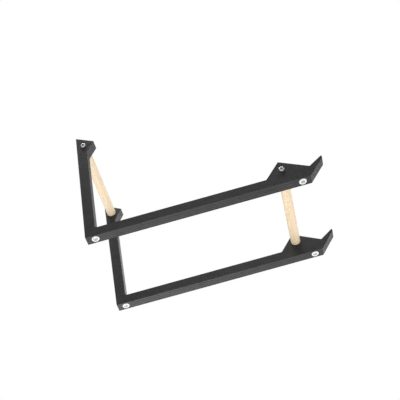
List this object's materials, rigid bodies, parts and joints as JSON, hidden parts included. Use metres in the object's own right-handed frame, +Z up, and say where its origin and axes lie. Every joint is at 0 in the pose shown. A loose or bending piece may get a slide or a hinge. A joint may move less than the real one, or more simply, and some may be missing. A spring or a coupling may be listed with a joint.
{
  "type": "laptop stand",
  "caption": "Open laptop stand: flat side frames with sloping rest edges and front hooks, joined by round cross dowels, standing on small feet.",
  "frame": {"origin": "middle of the footprint, on the surface that the feet stand on", "axes": "+Z up, -Y to the front where the hooks are, X along the cross dowels"},
  "size_m": [0.12, 0.2382, 0.1512],
  "materials": {
    "black_paint": "matte black lacquer on birch plywood",
    "beech": "bare, sanded",
    "brass": "machined",
    "zinc_steel": "zinc plated",
    "white_rubber": "matte"
  },
  "bodies": {
    "root": {"left_side_frame": "black_paint", "right_side_frame": "black_paint", "rear_cross_dowel": "beech", "front_cross_dowel": "beech", "rear_left_threaded_insert": "brass", "rear_right_threaded_insert": "brass", "front_left_threaded_insert": "brass", "front_right_threaded_insert": "brass", "rear_left_bolt": "zinc_steel", "rear_right_bolt": "zinc_steel", "front_left_bolt": "zinc_steel", "front_right_bolt": "zinc_steel", "rear_left_foot": "white_rubber", "rear_right_foot": "white_rubber", "front_left_foot": "white_rubber", "front_right_foot": "white_rubber", "rear_left_foot_screw": "zinc_steel", "rear_right_foot_screw": "zinc_steel", "front_left_foot_screw": "zinc_steel", "front_right_foot_screw": "zinc_steel"}
  },
  "joints": []
}
